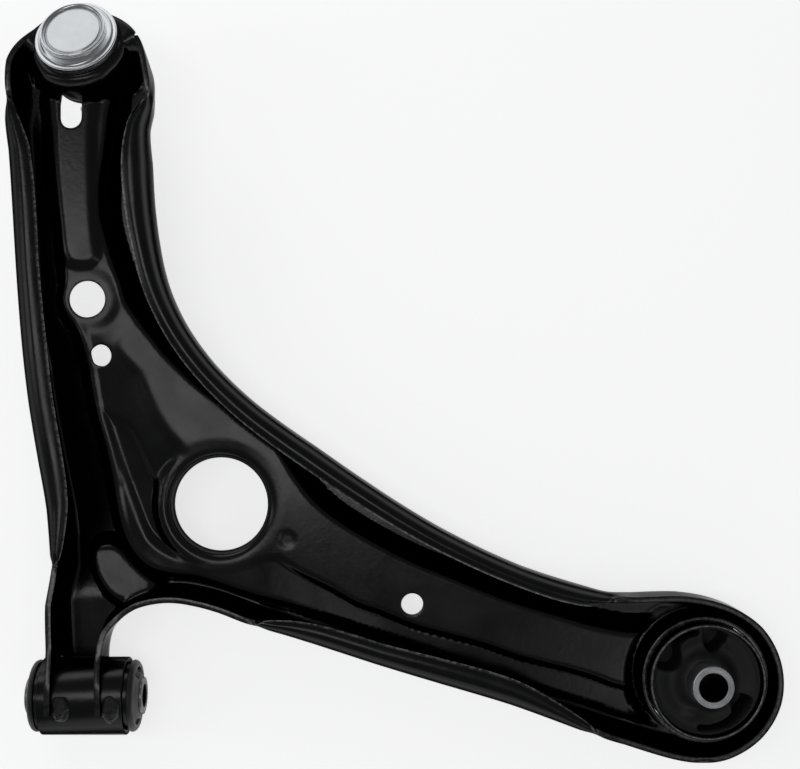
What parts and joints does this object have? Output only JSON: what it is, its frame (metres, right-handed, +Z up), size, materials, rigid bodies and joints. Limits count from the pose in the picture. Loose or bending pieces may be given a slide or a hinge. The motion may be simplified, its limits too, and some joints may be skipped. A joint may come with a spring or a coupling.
{
  "type": "suspension control arm",
  "caption": "Pressed steel control arm with a ball joint at one end, a horizontal bush on a short leg and a large vertical bush at the far end.",
  "frame": {"origin": "middle of the bottom of the box, with the arm lying on its eye, its vertical bush's sleeve and the tip of its stud, open side up", "axes": "+X along the horizontal bush, towards the vertical bush; +Y towards the ball joint; +Z up, out of the arm's open side"},
  "size_m": [0.4212, 0.4102, 0.0826],
  "materials": {
    "black_paint": "gloss",
    "black_rubber": "satin",
    "zinc_plate": "bright",
    "bare_steel": "satin",
    "seat_plastic": "matte"
  },
  "bodies": {
    "arm": {"arm_shell": "black_paint", "weld_bead_left": "black_paint", "weld_bead_right": "black_paint", "weld_bead_far": "black_paint", "front_eye_tube": "black_paint", "front_outer_sleeve": "black_paint", "front_rubber": "black_rubber", "rear_can": "black_paint", "rear_rubber": "black_rubber", "ball_joint_housing": "zinc_plate", "ball_joint_cover": "zinc_plate", "preload_washer": "black_rubber", "ball_seat_upper": "seat_plastic", "ball_seat_lower": "seat_plastic", "dust_boot": "black_rubber", "boot_clip_lower": "bare_steel"},
    "front_pivot": {"front_inner_sleeve": "bare_steel"},
    "rear_pivot": {"rear_inner_sleeve": "zinc_plate"},
    "stud_swing": {"boot_clip_upper": "bare_steel"},
    "stud": {"ball_stud": "bare_steel", "castle_nut": "zinc_plate", "cotter_pin": "bare_steel"}
  },
  "joints": [
    {"name": "front_bush_turn", "type": "hinge", "parent": "arm", "child": "front_pivot", "pos_m": [-0.16841, -0.17091, 0.02098], "axis": [1, 0, 0], "range_deg": [-25, 25], "stiffness_Nm_per_rad": 45, "deforming": ["front_rubber"]},
    {"name": "rear_bush_tilt", "type": "hinge", "parent": "arm", "child": "rear_pivot", "pos_m": [0.16929, -0.16015, 0.02196], "axis": [1, 0, 0], "range_deg": [-8, 8], "stiffness_Nm_per_rad": 90, "deforming": ["rear_rubber"]},
    {"name": "ball_swing", "type": "hinge", "parent": "arm", "child": "stud_swing", "pos_m": [-0.16908, 0.1794, 0.05824], "axis": [1, 0, 0], "range_deg": [-25, 25], "deforming": ["dust_boot"]},
    {"name": "stud_spin", "type": "hinge", "parent": "stud_swing", "child": "stud", "pos_m": [-0.16908, 0.1794, 0.05824], "axis": [-0.095, 0.3346, 0.9376], "continuous": true}
  ]
}
